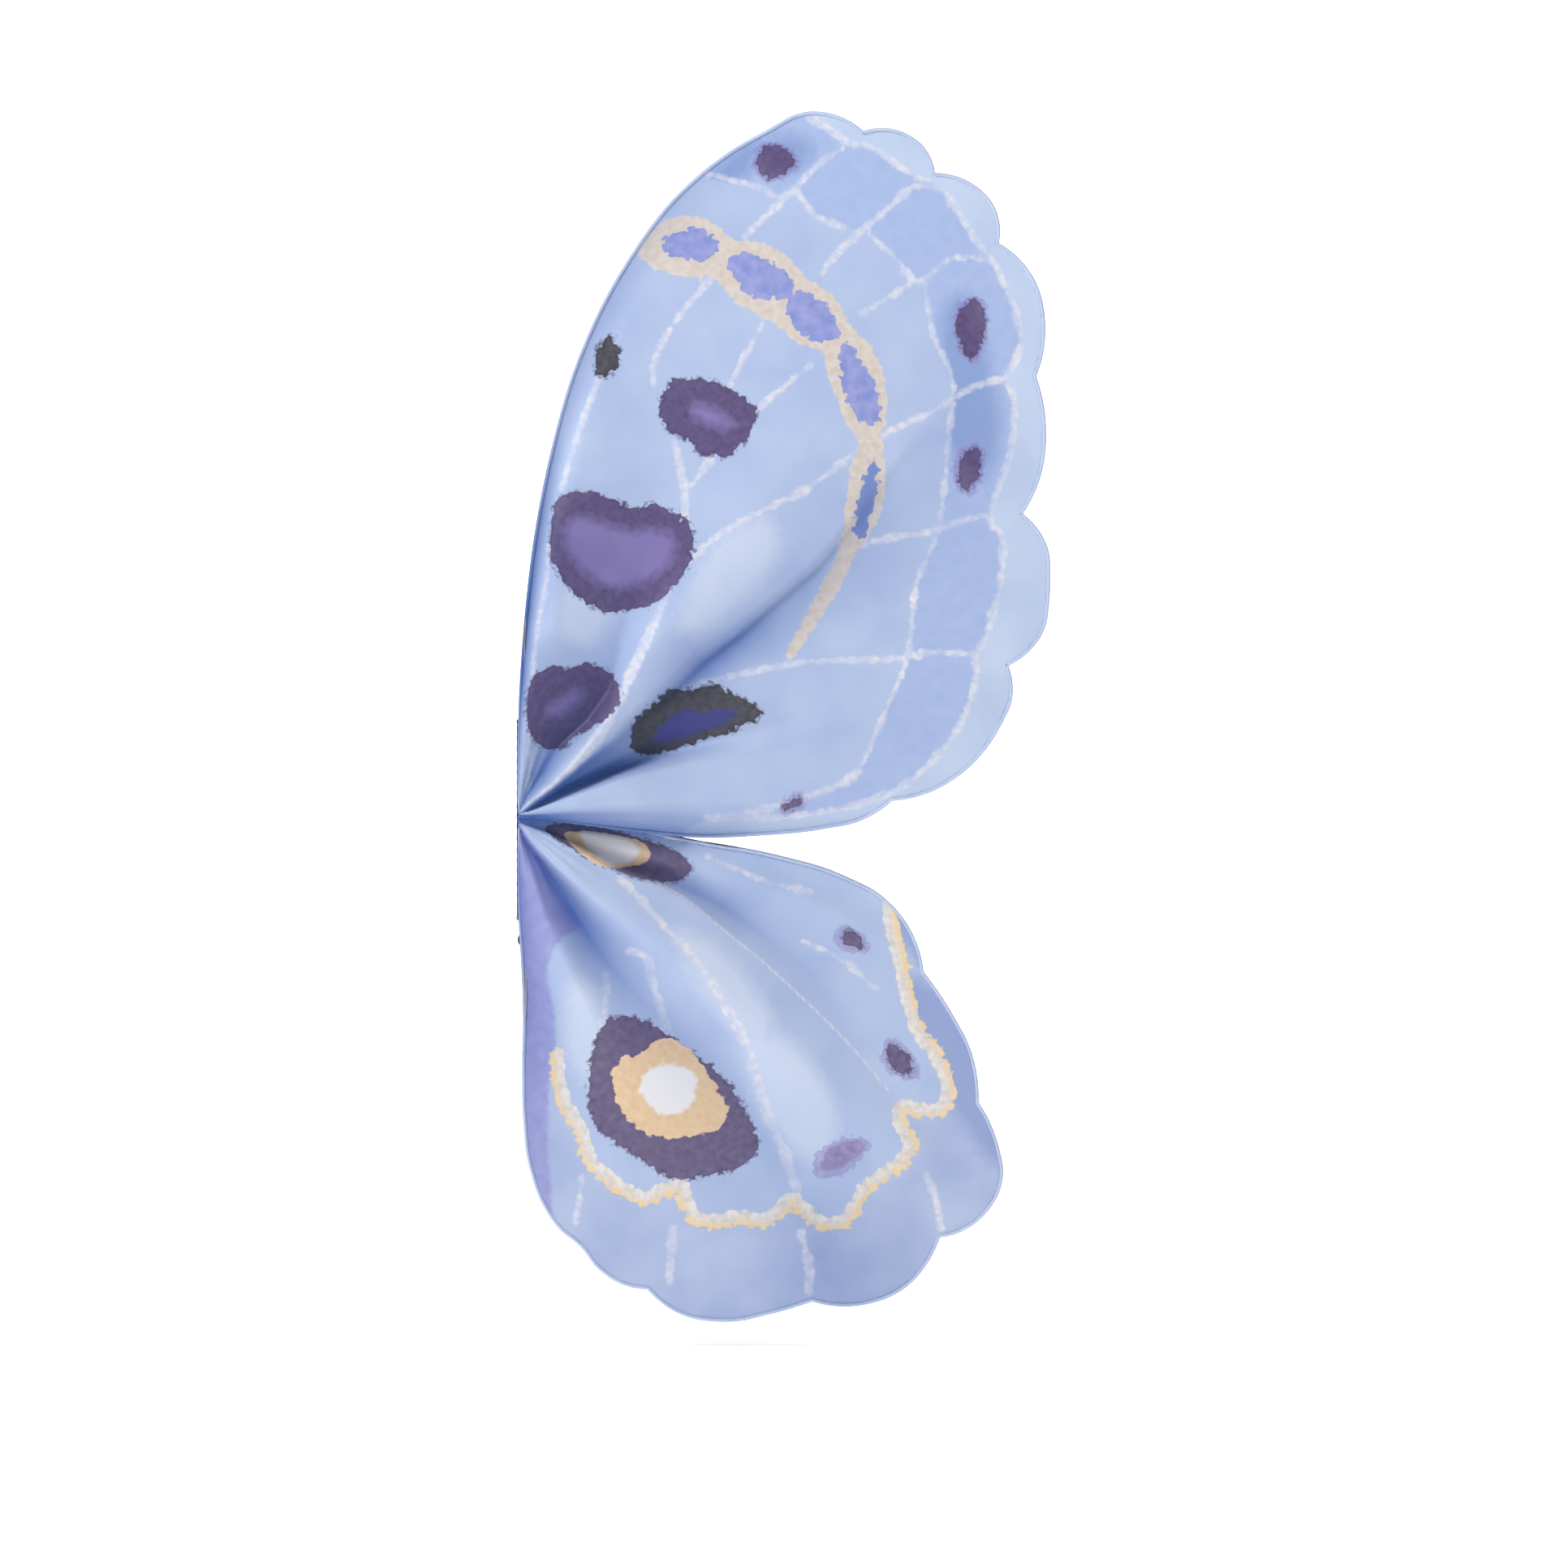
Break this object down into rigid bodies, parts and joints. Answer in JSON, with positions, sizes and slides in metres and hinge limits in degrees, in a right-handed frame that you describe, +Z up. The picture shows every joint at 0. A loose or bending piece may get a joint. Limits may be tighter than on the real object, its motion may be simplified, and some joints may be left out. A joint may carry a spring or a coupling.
{
  "type": "fairy wings",
  "caption": "Child's butterfly-shaped fairy wings of printed satin on spring wire, hinged to a padded spine with elastic shoulder straps.",
  "frame": {"origin": "centre of the back pad's flat face, where it rests on the wearer's back", "axes": "+X out of the pad's face towards the wearer, +Y to the wearer's left, +Z up. The wings are folded forward along +X at rest, and open outwards"},
  "size_m": [0.2633, 0.064, 0.5974],
  "materials": {
    "printed_satin": "satin",
    "hem_satin": "satin",
    "pad_satin": "satin",
    "elastic": "matt woven",
    "spring_wire": "drawn",
    "rod_steel": "ground",
    "crimp_sleeve": "tumbled",
    "rivet_metal": "satin",
    "moulded_plastic": "fine texture",
    "slider_plastic": "smooth"
  },
  "bodies": {
    "spine": {"spine_plate": "moulded_plastic", "back_pad": "pad_satin", "pad_studs": "moulded_plastic", "spine_cover": "pad_satin", "right_strap": "elastic", "right_strap_ring": "spring_wire", "right_ring_tab": "elastic", "right_lower_tab": "elastic", "left_strap": "elastic", "left_strap_ring": "spring_wire", "left_ring_tab": "elastic", "left_lower_tab": "elastic"},
    "right_wing": {"right_upper_wing_satin": "printed_satin", "right_lower_wing_satin": "printed_satin", "right_upper_wing_wire": "spring_wire", "right_lower_wing_wire": "spring_wire", "right_upper_wing_hem": "hem_satin", "right_lower_wing_hem": "hem_satin", "right_pivot_rod": "rod_steel", "right_rod_ferrules": "crimp_sleeve", "right_root_block": "moulded_plastic", "right_sewing_plate": "moulded_plastic", "right_plate_rivets": "rivet_metal"},
    "right_slider": {"right_strap_slider": "slider_plastic"},
    "left_wing": {"left_upper_wing_satin": "printed_satin", "left_lower_wing_satin": "printed_satin", "left_upper_wing_wire": "spring_wire", "left_lower_wing_wire": "spring_wire", "left_upper_wing_hem": "hem_satin", "left_lower_wing_hem": "hem_satin", "left_pivot_rod": "rod_steel", "left_rod_ferrules": "crimp_sleeve", "left_root_block": "moulded_plastic", "left_sewing_plate": "moulded_plastic", "left_plate_rivets": "rivet_metal"},
    "left_slider": {"left_strap_slider": "slider_plastic"}
  },
  "joints": [
    {"name": "right_wing_fold", "type": "hinge", "parent": "spine", "child": "right_wing", "pos_m": [-0.0118, -0.018, 0], "axis": [0, 0, -1], "range_deg": [0, 100]},
    {"name": "left_wing_fold", "type": "hinge", "parent": "spine", "child": "left_wing", "pos_m": [-0.0118, 0.018, 0], "axis": [0, 0, 1], "range_deg": [0, 100]},
    {"name": "right_strap_adjust", "type": "slide", "parent": "spine", "child": "right_slider", "axis": [-0.8607, 0, 0.509], "range_m": [-0.014, 0.018]},
    {"name": "left_strap_adjust", "type": "slide", "parent": "spine", "child": "left_slider", "axis": [-0.8607, 0, 0.509], "range_m": [-0.014, 0.018]}
  ]
}
